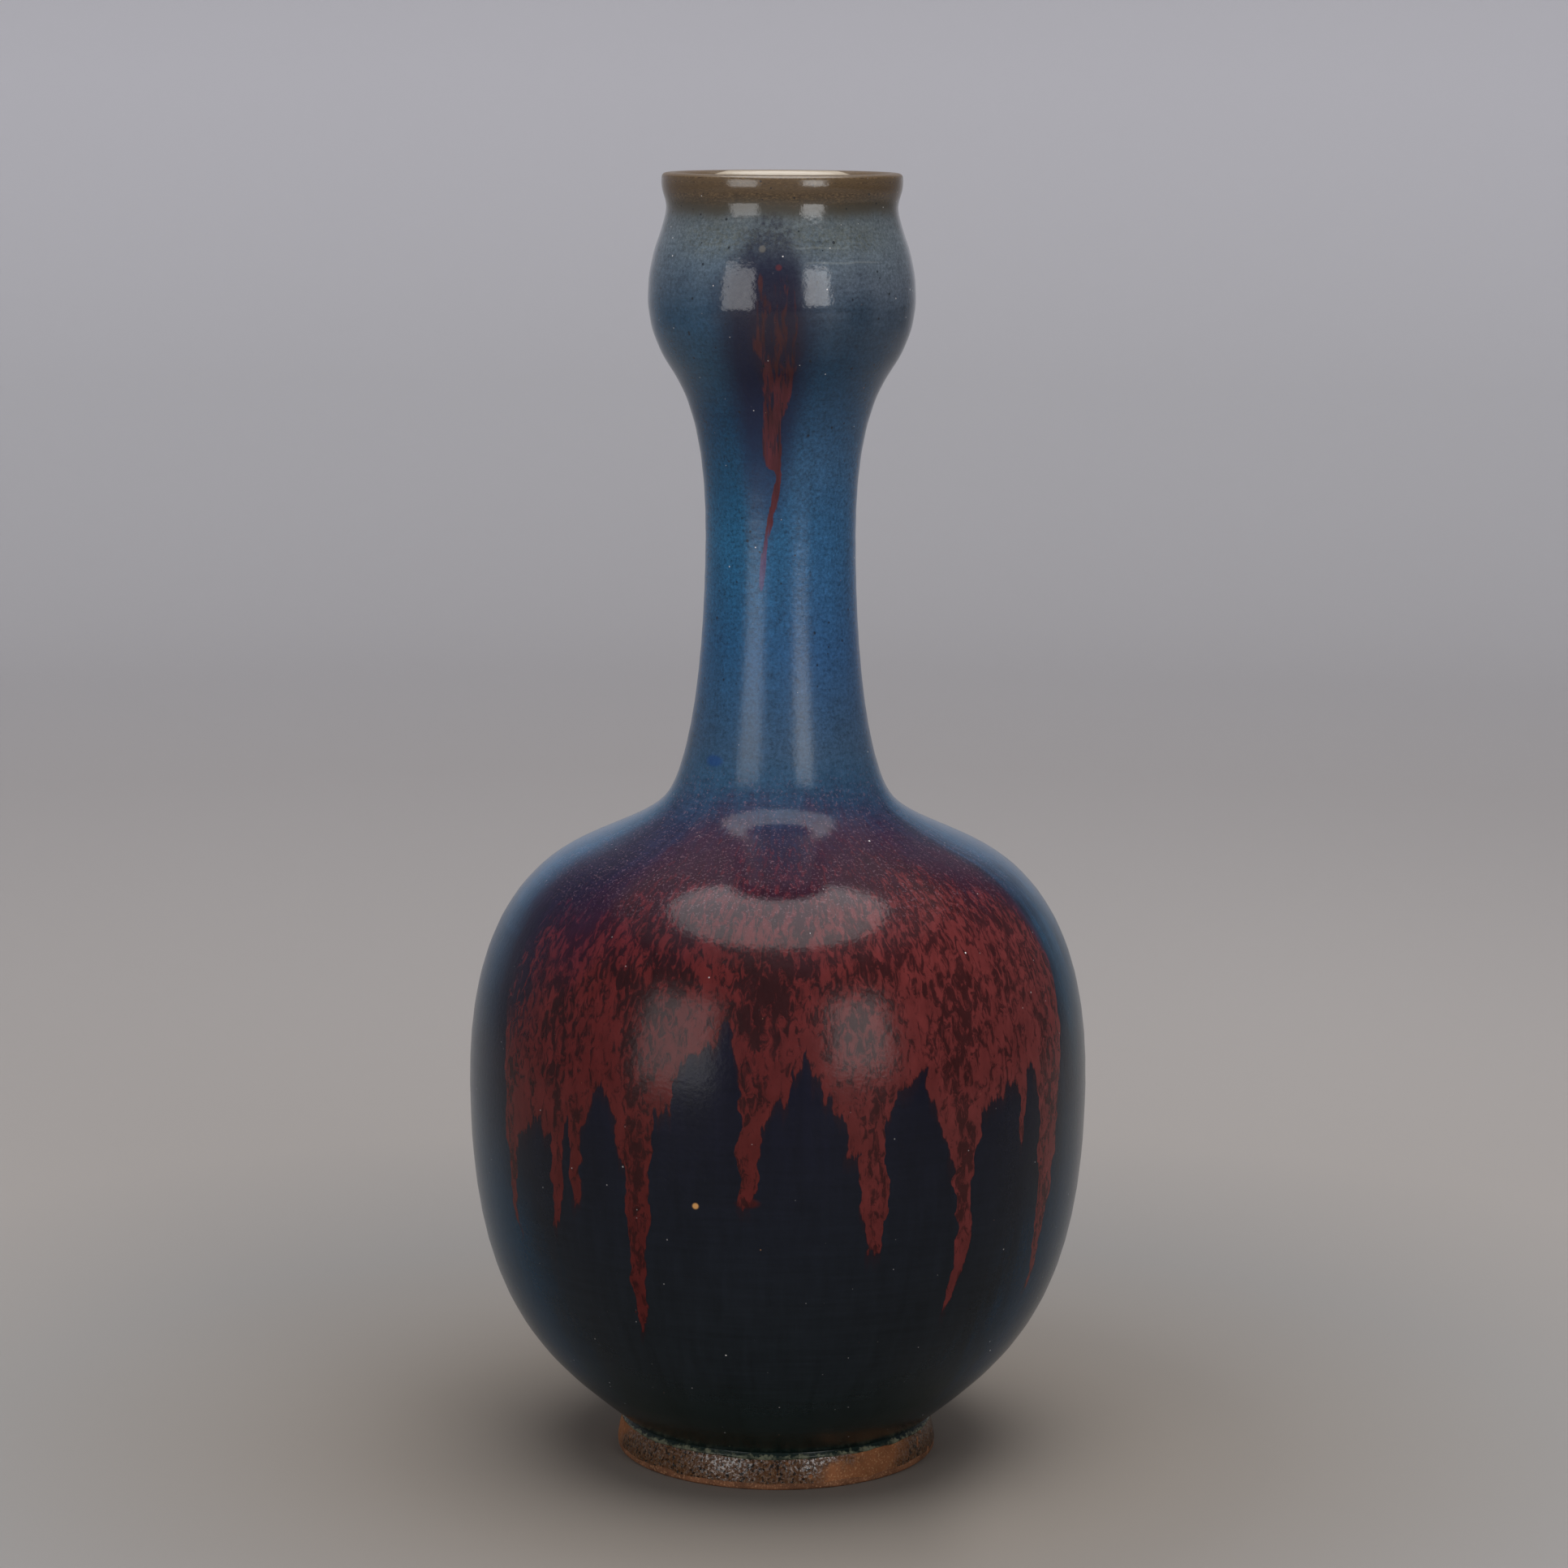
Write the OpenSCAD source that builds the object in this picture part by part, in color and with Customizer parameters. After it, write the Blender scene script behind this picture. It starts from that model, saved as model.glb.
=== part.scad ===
// Garlic head vase: a globular bottle with a slim neck that swells into a
// garlic-shaped mouth with a rolled lip. It is thrown in sections, luted
// together with slip, lined, glazed, and splashed with a run glaze.
// Millimetres, +Z up. The origin is the centre of the foot's standing face,
// and the face with the splash looks along -Y.

/* [Foot ring] */
// Height from the standing face to the flat underside of the body
foot_h = 9; // [6:0.5:16]
// How far the top of the ring stands out past the body's underside
foot_ledge = 0.4; // [0.2:0.1:1]
// How far the outside of the ring spreads between its top and the floor
foot_flare = 1.8; // [0.5:0.1:5]
// How far the inside of the ring opens between its top and the floor
foot_batter = 1; // [0:0.1:2.5]
// Radial width of the top of the ring
foot_w = 6.4; // [5:0.1:10]
// Bevel on the two edges of the standing face
foot_bevel = 0.8; // [0.3:0.1:1.5]

/* [Body] */
// Diameter of the flat underside that the foot ring carries
base_d = 74; // [60:0.5:90]
// Slope of the wall where it leaves the underside, in degrees from level
heel_slope = 39.5; // [30:0.5:55]
// Diameter of the belly at its widest
belly_d = 149.4; // [125:0.1:175]
// Rise from the underside to the widest line of the belly
belly_rise = 83.5; // [65:0.5:105]
// Diameter of the shoulder where it starts to flatten
shoulder_d = 99.3; // [85:0.1:115]
// Rise from the widest line to that place on the shoulder
shoulder_rise = 57; // [45:0.5:75]
// Slope of the shoulder there, in degrees from level
shoulder_slope = 26.5; // [15:0.5:35]

/* [Neck] */
// Diameter where the shoulder turns up into the neck
root_d = 50.8; // [44:0.1:60]
// Rise from the shoulder to that turn
root_rise = 15.3; // [10:0.1:24]
// Slope of the wall at that turn, in degrees from level
root_slope = 65; // [50:0.5:75]
// Diameter of the neck at its narrowest
waist_d = 35; // [30:0.5:42]
// Rise from the root of the neck to its narrowest line
waist_rise = 61; // [40:0.5:90]

/* [Garlic head] */
// Diameter half way up the underside of the bulb
cup_d = 51; // [45:0.5:58]
// Rise from the narrowest line of the neck to there
cup_rise = 39.5; // [28:0.5:55]
// Slope of the underside there, in degrees from level
cup_slope = 56; // [40:0.5:70]
// Diameter of the bulb at its widest
bulb_d = 62.8; // [58:0.2:75]
// Rise from the underside to the widest line of the bulb
bulb_rise = 17.8; // [12:0.1:26]
// Diameter of the drawn-in collar under the lip
collar_d = 54.2; // [46:0.2:58]
// Rise from the widest line of the bulb to the collar
collar_rise = 20.8; // [14:0.1:28]
// Diameter of the rolled lip
lip_d = 56.9; // [50:0.1:62]
// Rise from the collar to the widest line of the lip
lip_rise = 6; // [4:0.1:9]
// Height of the round top of the lip
lip_h = 1.9; // [1.5:0.1:4]

/* [Clay walls] */
// Thickness of the floor
floor_t = 7; // [5:0.1:10]
// Thickness of the wall where it leaves the floor
heel_t = 8; // [6:0.1:10]
// Thickness of the wall at the belly
belly_t = 5; // [4:0.1:8]
// Thickness of the wall at the shoulder
shoulder_t = 5; // [4:0.1:8]
// Thickness of the wall at the root of the neck
root_t = 5.5; // [4:0.1:8]
// Thickness of the wall at the narrowest part of the neck
neck_t = 4.2; // [3:0.1:6]
// Thickness of the wall of the bulb
bulb_t = 4; // [3:0.1:6]
// Thickness of the wall at the collar
collar_t = 3.8; // [3:0.1:5.5]
// Thickness of the rolled lip
lip_t = 4; // [3:0.1:6]

/* [Luted seams] */
// Thickness of the slip that fills each seam
slip_t = 0.4; // [0.2:0.1:1]
// Bevel of the seams in the wall, in degrees, so that each section seats in the one below
seam_slope = 15; // [5:1:25]
// Rise from the narrowest line of the neck to the seam under the head
head_seam_rise = 31; // [22:0.5:36]

/* [Glaze] */
// Thickness of the outer glaze over most of the vase
glaze_t = 0.5; // [0.3:0.05:1]
// Thickness of the outer glaze on the lip, where it thins and turns brown
glaze_lip_t = 0.25; // [0.15:0.05:0.5]
// Radius of the roll where the glaze stops on the foot
glaze_roll_r = 0.9; // [0.7:0.05:1.4]
// Thickness of the cream glaze that lines the inside
liner_t = 0.4; // [0.2:0.05:1]
// Thickness of the brown wash on the outside of the foot
wash_t = 0.15; // [0.1:0.05:0.4]
// Thickness of the splashed glaze over the outer glaze
splash_t = 0.25; // [0.15:0.05:0.5]

/* [Splash on the belly] */
// How far round the belly the splash reaches on each side, in degrees
belly_splash_reach = 61; // [40:1:70]
// Drop from the widest line to the tip of the longest run
belly_splash_drop = 46; // [25:1:60]
// Rise from the widest line to the place where the runs part
belly_splash_parting = 14; // [5:1:25]
// How far below the root of the neck the splash starts
belly_splash_start = 13; // [8:0.5:20]
// Width of the widest run where the runs part
belly_run_w = 17; // [10:0.5:24]

/* [Splash on the head] */
// Width of the splash on the bulb
head_splash_w = 22; // [14:0.5:30]
// How far to the right of the middle the splash lies, as seen from the front
head_splash_shift = -3; // [-8:0.5:8]
// Rise of the splash above the widest line of the bulb
head_splash_rise = 16; // [8:0.5:19]
// Drop from the widest line of the bulb to the end of the thin run
head_splash_drop = 66; // [40:1:80]
// Width of the thin run on the neck
head_run_w = 3; // [1.5:0.1:6]

/* [Hidden] */
$fn = 120;

// Pieces that each curve is made of, and the turn between points round the lip and the roll
curve_steps = 12;
lip_turn = 15;
roll_turn = 15;

// Heights of the stations, stacked from the standing face
z_belly = foot_h + belly_rise;
z_shoulder = z_belly + shoulder_rise;
z_root = z_shoulder + root_rise;
z_waist = z_root + waist_rise;
z_cup = z_waist + cup_rise;
z_bulb = z_cup + bulb_rise;
z_collar = z_bulb + collar_rise;
z_lip = z_collar + lip_rise;
z_floor = foot_h + floor_t;
z_top = z_lip + lip_h;

// Stations of the outside of the clay, from the foot up: radius, height and
// the direction in which the outline leaves, in degrees from level
STATIONS = [
    [base_d / 2, foot_h, heel_slope],
    [belly_d / 2, z_belly, 90],
    [shoulder_d / 2, z_shoulder, 180 - shoulder_slope],
    [root_d / 2, z_root, 180 - root_slope],
    [waist_d / 2, z_waist, 90],
    [cup_d / 2, z_cup, cup_slope],
    [bulb_d / 2, z_bulb, 90],
    [collar_d / 2, z_collar, 90],
    [lip_d / 2, z_lip, 90]
];
// Fullness of the curve after each station: the share of the straight distance
// that its two handles take
FULLNESS = [
    [0.27, 0.61], [0.41, 0.34], [0.45, 0.27], [0.24, 0.30],
    [0.37, 0.28], [0.35, 0.37], [0.50, 0.22], [0.35, 0.36]
];
// Thickness of the clay and of the outer glaze at each station
WALLS = [heel_t, belly_t, shoulder_t, root_t, neck_t, bulb_t, bulb_t, collar_t, lip_t];
GLAZES = [glaze_t, glaze_t, glaze_t, glaze_t, glaze_t, glaze_t, glaze_t, glaze_t, glaze_lip_t];

// Outside of the foot ring, from the floor up, as two stations of the same kind
foot_top_r = base_d / 2 + foot_ledge;
foot_r = foot_top_r + foot_flare;
foot_top_z = foot_h - slip_t;
foot_toe_slope = 85;
foot_top_slope = 68;
FOOT_STATIONS = [
    [foot_r, foot_bevel, 180 - foot_toe_slope],
    [foot_top_r, foot_top_z, 180 - foot_top_slope]
];
FOOT_FULLNESS = [[0.35, 0.35]];

// Far enough out to pass every wall
reach = belly_d;

// Runs of the belly splash, left to right: place across the splash from -1 to 1,
// share of the widest run's width, and share of the longest drop
RUNS = [
    [-0.95, 0.25, 0.60], [-0.81, 0.35, 0.50], [-0.69, 0.40, 0.35], [-0.51, 0.70, 1.00], [-0.09, 0.80, 0.30],
    [0.33, 1.00, 0.55], [0.63, 0.90, 0.90], [0.85, 0.30, 0.10], [0.96, 0.25, 0.95]
];
// Turn between the points of the splash's domed top, and how much fuller than an ellipse it is
dome_turn = 12;
dome_fullness = 0.7;

function slope_direction(angle) = [cos(angle), sin(angle)];
function place(station) = [station[0], station[1]];
function reversed(points) = [for (i = [len(points) - 1:-1:0]) points[i]];
function unit(v) = v / norm(v);

// The four points that shape the curve between two stations
function handles(a, b, full) =
    let (chord = norm(place(b) - place(a)))
    [
        place(a),
        place(a) + chord * full[0] * slope_direction(a[2]),
        place(b) - chord * full[1] * slope_direction(b[2]),
        place(b)
    ];
function curve_point(h, t) =
    pow(1 - t, 3) * h[0] + 3 * pow(1 - t, 2) * t * h[1] + 3 * (1 - t) * t * t * h[2] + pow(t, 3) * h[3];
function curve_travel(h, t) =
    pow(1 - t, 2) * (h[1] - h[0]) + 2 * (1 - t) * t * (h[2] - h[1]) + t * t * (h[3] - h[2]);

// One sample of an outline: point, outward normal and place counted in stations
function sample(h, i, t) =
    let (travel = unit(curve_travel(h, t)))
    [curve_point(h, t), [travel[1], -travel[0]], i + t];
function outline(stations, fullness) = [
    for (i = [0:len(stations) - 2], k = [0:curve_steps])
        if (k < curve_steps || i == len(stations) - 2)
            sample(handles(stations[i], stations[i + 1], fullness[i]), i, k / curve_steps)
];

// A value given at each station, read at a place between them
function between(values, at) = lookup(at, [for (i = [0:len(values) - 1]) [i, values[i]]]);
function points_of(samples) = [for (s = samples) s[0]];
function moved_out(samples, values) = [for (s = samples) s[0] + s[1] * between(values, s[2])];
function radius_at(points, z) = lookup(z, [for (p = points) [p[1], p[0]]]);

OUTSIDE = outline(STATIONS, FULLNESS);
FOOT_SIDE = outline(FOOT_STATIONS, FOOT_FULLNESS);
// Round top of the lip, from its outer side to its inner side
LIP = [
    for (a = [0:lip_turn:180])
        [
            [lip_d / 2 - lip_t / 2 + lip_t / 2 * cos(a), z_lip + lip_h * sin(a)],
            unit([cos(a) * lip_h, sin(a) * lip_t / 2]),
            len(STATIONS) - 1
        ]
];

// Inside of the clay or of the liner, from the middle of the floor up to the lip
function inside(coat) =
    let (wall = moved_out(OUTSIDE, -WALLS - [for (w = WALLS) coat]))
    let (floor_z = z_floor + coat)
    concat(
        [[0, floor_z], [radius_at(wall, floor_z), floor_z]],
        [for (p = wall) if (p[1] > floor_z) p]
    );

// A seam in the wall: the middle of the wall at the height of the seam
function seam_at(z, wall_t) = [radius_at(points_of(OUTSIDE), z) - wall_t / 2, z];
function seam_z(seam, r) = seam[1] + (r - seam[0]) * tan(seam_slope);
BELLY_SEAM = seam_at(z_belly, belly_t);
NECK_SEAM = seam_at(z_root, root_t);
HEAD_SEAM = seam_at(z_waist + head_seam_rise, bulb_t);

// Half sections, drawn with the radius along X and the height along Y

module clay_section() {
    polygon(concat([[0, foot_h]], points_of(OUTSIDE), points_of(LIP), reversed(inside(0))));
}

module under_seam(seam) {
    polygon([[0, 0], [reach, 0], [reach, seam_z(seam, reach)], [0, seam_z(seam, 0)]]);
}

module over_seam(seam) {
    translate([0, slip_t])
        polygon([[0, seam_z(seam, 0)], [reach, seam_z(seam, reach)], [reach, z_top + reach], [0, z_top + reach]]);
}

module seam_band(seam) {
    intersection() {
        clay_section();
        difference() {
            square([reach, z_top]);
            under_seam(seam);
            over_seam(seam);
        }
    }
}

module foot_section() {
    inner_r = foot_top_r - foot_w;
    polygon(concat(
        [[inner_r, foot_top_z], [inner_r + foot_batter, foot_bevel]],
        [[inner_r + foot_batter + foot_bevel, 0], [foot_r - foot_bevel, 0]],
        points_of(FOOT_SIDE)
    ));
}

module foot_slip_section() {
    translate([foot_top_r - foot_w, foot_top_z])
        square([foot_w - foot_ledge, slip_t]);
}

// Rolled end of the outer glaze: a quarter round that starts square to the side of the foot
function glaze_roll(seat, r) =
    let (normal = seat[1], up = [-normal[1], normal[0]])
    [for (a = [0:roll_turn:90]) seat[0] + r * (up + sin(a) * normal - cos(a) * up)];

// Coat over the clay that steps down over the seam and ends in a roll on the foot
module outer_glaze_section() {
    seat = FOOT_SIDE[curve_steps - 1];
    coat = [for (s = concat(OUTSIDE, LIP)) if (s[2] > 0) s];
    polygon(concat(
        [[foot_top_r, foot_top_z], [base_d / 2, foot_top_z], [base_d / 2, foot_h]],
        points_of(coat),
        reversed(moved_out(coat, GLAZES)),
        reversed(glaze_roll(seat, glaze_roll_r))
    ));
}

// Thin layer on top of the outer glaze, between two stations
module splash_section(first, last) {
    stretch = [for (s = OUTSIDE) if (s[2] >= first && s[2] <= last) s];
    raised = GLAZES + [for (g = GLAZES) splash_t];
    polygon(concat(moved_out(stretch, GLAZES), reversed(moved_out(stretch, raised))));
}

// Everything in front of the vase's axis that lies inside a flat shape, seen from the front
module seen_from_front() {
    rotate([90, 0, 0])
        linear_extrude(height = reach)
            children();
}

// Outline of the belly splash from the front: a domed sheet that parts into runs
module belly_splash_shape() {
    half_w = belly_d / 2 * sin(belly_splash_reach);
    z_part = z_belly + belly_splash_parting;
    z_start = z_root - belly_splash_start;
    dome = [
        for (a = [0:dome_turn:180])
            [half_w * cos(a), z_part + (z_start - z_part) * pow(max(0, sin(a)), dome_fullness)]
    ];
    runs = [
        for (run = RUNS)
            let (x = run[0] * half_w)
            let (w = run[1] * belly_run_w / 2)
            let (tip = z_belly - run[2] * belly_splash_drop)
            each [[x - w, z_part], [x - w / 2, tip + w], [x, tip], [x + w / 2, tip + w], [x + w, z_part]]
    ];
    polygon(concat(dome, runs));
}

// Outline of the head splash from the front: a drop on the bulb with a thin run below it
module head_splash_shape() {
    w = head_splash_w / 2;
    run = head_run_w / 2;
    translate([head_splash_shift, z_bulb])
        polygon([
            [-w / 3, head_splash_rise], [-w, 0], [-w / 2, -bulb_rise],
            [-run, -2 * bulb_rise], [0, -head_splash_drop], [run, -2 * bulb_rise],
            [w / 2, -bulb_rise], [w, 0], [w / 3, head_splash_rise]
        ]);
}

module foot_ring() {
    color("sienna")
        rotate_extrude()
            foot_section();
}

module foot_slip() {
    color("peru")
        rotate_extrude()
            foot_slip_section();
}

module lower_body() {
    color("rosybrown")
        rotate_extrude()
            intersection() {
                clay_section();
                under_seam(BELLY_SEAM);
            }
}

module belly_slip() {
    color("peru")
        rotate_extrude()
            seam_band(BELLY_SEAM);
}

module upper_body() {
    color("tan")
        rotate_extrude()
            intersection() {
                clay_section();
                over_seam(BELLY_SEAM);
                under_seam(NECK_SEAM);
            }
}

module neck_slip() {
    color("peru")
        rotate_extrude()
            seam_band(NECK_SEAM);
}

module neck() {
    color("rosybrown")
        rotate_extrude()
            intersection() {
                clay_section();
                over_seam(NECK_SEAM);
                under_seam(HEAD_SEAM);
            }
}

module head_slip() {
    color("peru")
        rotate_extrude()
            seam_band(HEAD_SEAM);
}

module garlic_head() {
    color("tan")
        rotate_extrude()
            intersection() {
                clay_section();
                over_seam(HEAD_SEAM);
            }
}

module inner_glaze() {
    color("antiquewhite")
        rotate_extrude()
            polygon(concat(inside(0), reversed(inside(liner_t))));
}

module outer_glaze() {
    color("steelblue")
        rotate_extrude()
            outer_glaze_section();
}

module foot_wash() {
    side = [for (i = [0:curve_steps - 1]) FOOT_SIDE[i]];
    color("saddlebrown")
        rotate_extrude()
            polygon(concat(points_of(side), reversed(moved_out(side, [wash_t, wash_t]))));
}

module belly_splash() {
    color("maroon")
        intersection() {
            rotate_extrude()
                splash_section(0, 3);
            seen_from_front()
                belly_splash_shape();
        }
}

module head_splash() {
    color("firebrick")
        intersection() {
            rotate_extrude()
                splash_section(3, 7);
            seen_from_front()
                head_splash_shape();
        }
}

foot_ring();
foot_slip();
lower_body();
belly_slip();
upper_body();
neck_slip();
neck();
head_slip();
garlic_head();
inner_glaze();
outer_glaze();
foot_wash();
belly_splash();
head_splash();
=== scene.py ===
"""Dresses the garlic head vase in its own frame: run glaze, cream liner, foot ring and iron wash.

The vase stands on the origin with +Z up and its splashed face towards -Y. Sizes are millimetres and
become metres where a mesh is made. Azimuths are degrees from the front, positive to the right as
seen from the front.
"""
import logging
import math
from dataclasses import dataclass
from enum import Enum
from typing import Sequence, Union

import bpy
import numpy as np
from mathutils import Matrix, Vector, noise


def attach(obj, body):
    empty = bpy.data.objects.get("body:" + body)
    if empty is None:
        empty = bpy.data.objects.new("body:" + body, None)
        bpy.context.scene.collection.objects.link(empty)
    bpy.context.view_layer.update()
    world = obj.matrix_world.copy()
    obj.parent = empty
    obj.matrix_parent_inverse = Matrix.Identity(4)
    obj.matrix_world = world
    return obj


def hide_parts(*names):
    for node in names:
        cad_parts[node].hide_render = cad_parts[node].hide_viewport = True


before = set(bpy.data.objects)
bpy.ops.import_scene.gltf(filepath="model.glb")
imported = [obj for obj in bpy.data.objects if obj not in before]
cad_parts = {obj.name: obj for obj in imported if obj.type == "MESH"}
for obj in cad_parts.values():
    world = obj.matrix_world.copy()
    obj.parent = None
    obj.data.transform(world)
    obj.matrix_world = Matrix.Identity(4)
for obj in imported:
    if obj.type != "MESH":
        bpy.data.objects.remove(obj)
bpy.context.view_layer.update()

log = logging.getLogger("vase")

MM = 0.001
MERGE = 1e-6
BODY = "root"
ALONG = "along"
# Radii in mm that the flecks of the belly and of the head are true to scale on
BELLY = 66
HEAD = 28
# Share of the chord that the handles of a quarter circle take
QUARTER = 0.39
Tint = tuple[int, int, int]
Number = Union[float, "Wire"]
Points = tuple[tuple[float, float], ...]
Stops = tuple[tuple[float, Tint], ...]


class Slot(Enum):
    """The record's material slots, one named for each new piece."""

    FOOT_CLAY = "foot_clay"
    CREAM_LINER = "cream_liner"
    BLUE_GLAZE = "blue_glaze"
    IRON_WASH = "iron_wash"


class Facing(Enum):
    """The side of a turned surface that shows."""

    OUTWARD = False
    INWARD = True


def linear(tint: Tint) -> tuple[float, float, float, float]:
    """Turns a colour into the one that a socket takes.

    Args:
        tint: sRGB colour of 0 to 255.

    Returns:
        The linear colour, opaque.
    """
    def channel(value: int) -> float:
        """Gives one linear channel."""
        share = value / 255
        return share / 12.92 if share <= 0.04045 else ((share + 0.055) / 1.055) ** 2.4
    return (*(channel(value) for value in tint), 1)


class Wire:
    """A value that runs between shader nodes. Arithmetic on it adds Math nodes."""

    def __init__(self, paint: "Paint", socket: bpy.types.NodeSocket) -> None:
        """Keeps the paint that the value belongs to and the socket it comes out of."""
        self.paint = paint
        self.socket = socket

    def __add__(self, other: Number) -> "Wire":
        """Adds."""
        return self.paint.math("ADD", self, other)

    def __radd__(self, other: Number) -> "Wire":
        """Adds from the right."""
        return self.paint.math("ADD", other, self)

    def __sub__(self, other: Number) -> "Wire":
        """Subtracts."""
        return self.paint.math("SUBTRACT", self, other)

    def __rsub__(self, other: Number) -> "Wire":
        """Subtracts from the right."""
        return self.paint.math("SUBTRACT", other, self)

    def __mul__(self, other: Number) -> "Wire":
        """Multiplies."""
        return self.paint.math("MULTIPLY", self, other)

    def __truediv__(self, other: Number) -> "Wire":
        """Divides."""
        return self.paint.math("DIVIDE", self, other)

    def __rtruediv__(self, other: Number) -> "Wire":
        """Divides from the right."""
        return self.paint.math("DIVIDE", other, self)

    def __neg__(self) -> "Wire":
        """Turns the sign."""
        return self.paint.math("MULTIPLY", self, -1)

    def __abs__(self) -> "Wire":
        """Drops the sign."""
        return self.paint.math("ABSOLUTE", self)


class Paint:
    """A material in the making, with the vase's own coordinates in millimetres and degrees."""

    def __init__(self, name: str) -> None:
        """Starts a material.

        Args:
            name: name of the material.
        """
        self.material = bpy.data.materials.new(name)
        self.material.use_nodes = True
        self.tree = self.material.node_tree
        self.shader = self.tree.nodes["Principled BSDF"]

    def node(self, kind: str, **settings: object) -> bpy.types.Node:
        """Adds a shader node.

        Args:
            kind: end of the node's type name.
            settings: properties of the node.

        Returns:
            The new node.
        """
        made = self.tree.nodes.new("ShaderNode" + kind)
        for key, value in settings.items():
            setattr(made, key, value)
        return made

    def feed(self, socket: bpy.types.NodeSocket, value: object) -> None:
        """Links a wire to a socket, or sets the socket to a plain value.

        Args:
            socket: the socket.
            value: wire, number or linear colour.
        """
        if isinstance(value, Wire):
            self.tree.links.new(value.socket, socket)
        else:
            socket.default_value = value

    def math(self, operation: str, *values: Number) -> Wire:
        """Adds a Math node.

        Args:
            operation: the node's operation.
            values: what it works on.

        Returns:
            The result.
        """
        made = self.node("Math", operation=operation)
        for socket, value in zip(made.inputs, values):
            self.feed(socket, value)
        return Wire(self, made.outputs[0])

    def smooth(self, value: Wire, low: Number, high: Number) -> Wire:
        """Makes a soft step.

        Args:
            value: the value that the step follows.
            low: value from which the step leaves 0.
            high: value at which the step reaches 1. It may be below low.

        Returns:
            The step, from 0 to 1.
        """
        made = self.node("MapRange", interpolation_type="SMOOTHSTEP")
        for socket, number in zip(made.inputs, (value, low, high)):
            self.feed(socket, number)
        return Wire(self, made.outputs[0])

    def mix(self, share: Number, first: object, second: object) -> Wire:
        """Mixes two colours.

        Args:
            share: share of the second colour.
            first: wire or sRGB tint.
            second: wire or sRGB tint.

        Returns:
            The mixed colour.
        """
        made = self.node("Mix", data_type="RGBA")
        self.feed(made.inputs[0], share)
        for socket, colour in zip(made.inputs[6:8], (first, second)):
            self.feed(socket, colour if isinstance(colour, Wire) else linear(colour))
        return Wire(self, made.outputs[2])

    def vector(self, x: Number, y: Number, z: Number) -> Wire:
        """Joins three numbers into a vector.

        Args:
            x: first number.
            y: second number.
            z: third number.

        Returns:
            The vector.
        """
        made = self.node("CombineXYZ")
        for socket, value in zip(made.inputs, (x, y, z)):
            self.feed(socket, value)
        return Wire(self, made.outputs[0])

    def grain(
        self, place: Wire, size: float, detail: float = 2, roughness: float = 0.5, warp: float = 0,
    ) -> Wire:
        """Gives noise of about 0.3 to 0.7.

        Args:
            place: vector in mm.
            size: size of a feature in mm.
            detail: number of finer layers.
            roughness: strength of the finer layers.
            warp: how far the features are twisted.

        Returns:
            The noise.
        """
        made = self.node("TexNoise")
        names = ("Vector", "Scale", "Detail", "Roughness", "Distortion")
        for name, value in zip(names, (place, 1 / size, detail, roughness, warp)):
            self.feed(made.inputs[name], value)
        return Wire(self, made.outputs[0])

    def dots(self, place: Wire, spacing: float, radius: float, share: float) -> Wire:
        """Scatters round dots.

        Args:
            place: vector in mm.
            spacing: distance between the dots' cells in mm.
            radius: radius of a dot in mm.
            share: share of the cells that hold a dot.

        Returns:
            1 inside a dot and 0 outside.
        """
        made = self.node("TexVoronoi")
        self.feed(made.inputs["Vector"], place)
        self.feed(made.inputs["Scale"], 1 / spacing)
        luck = self.node("SeparateColor")
        self.tree.links.new(made.outputs["Color"], luck.inputs[0])
        distance = Wire(self, made.outputs["Distance"]) * spacing
        chosen = self.math("LESS_THAN", Wire(self, luck.outputs[0]), share)
        spread = Wire(self, luck.outputs[1]) * 0.7 + 0.3
        return self.smooth(distance / spread, radius, radius * 0.5) * chosen

    def ramp(self, value: Wire, stops: Stops) -> Wire:
        """Colours a value by stops.

        Args:
            value: the value.
            stops: value and sRGB tint of each stop, in rising order.

        Returns:
            The colour.
        """
        low, high = stops[0][0], stops[-1][0]
        made = self.node("ValToRGB")
        self.feed(made.inputs[0], (value - low) / (high - low))
        elements = made.color_ramp.elements
        while len(elements) < len(stops):
            elements.new(0.5)
        for element, (at, tint) in zip(elements, stops):
            element.position = (at - low) / (high - low)
            element.color = linear(tint)
        return Wire(self, made.outputs[0])

    def curve(self, value: Wire, points: Points, handle: str = "AUTO_CLAMPED") -> Wire:
        """Reads a curve through points.

        Args:
            value: where the curve is read.
            points: place and height of each point, in rising order of place.
            handle: kind of the curve's handles, VECTOR for straight stretches.

        Returns:
            The height of the curve.
        """
        places = [point[0] for point in points]
        heights = [point[1] for point in points]
        start, reach = places[0], places[-1] - places[0]
        low, span = min(heights), max(heights) - min(heights)
        made = self.node("FloatCurve")
        self.feed(made.inputs["Value"], (value - start) / reach)
        marks = made.mapping.curves[0].points
        while len(marks) < len(points):
            marks.new(0.5, 0.5)
        for mark, place, height in zip(marks, places, heights):
            mark.location = ((place - start) / reach, (height - low) / span)
            mark.handle_type = handle
        made.mapping.update()
        return Wire(self, made.outputs[0]) * span + low

    def place(self) -> tuple[Wire, Wire, Wire, Wire]:
        """Reads where a point of the surface is.

        Returns:
            The place as a vector in mm, and x, y and z in mm.
        """
        coordinates = self.node("TexCoord")
        scaled = self.node("VectorMath", operation="SCALE")
        self.tree.links.new(coordinates.outputs["Object"], scaled.inputs[0])
        scaled.inputs["Scale"].default_value = 1 / MM
        split = self.node("SeparateXYZ")
        self.tree.links.new(scaled.outputs[0], split.inputs[0])
        return (Wire(self, scaled.outputs[0]), *(Wire(self, out) for out in split.outputs))

    def azimuth(self, x: Wire, y: Wire) -> Wire:
        """Gives the azimuth of a place in degrees."""
        return self.math("ARCTAN2", x, -y) * math.degrees(1)

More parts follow.
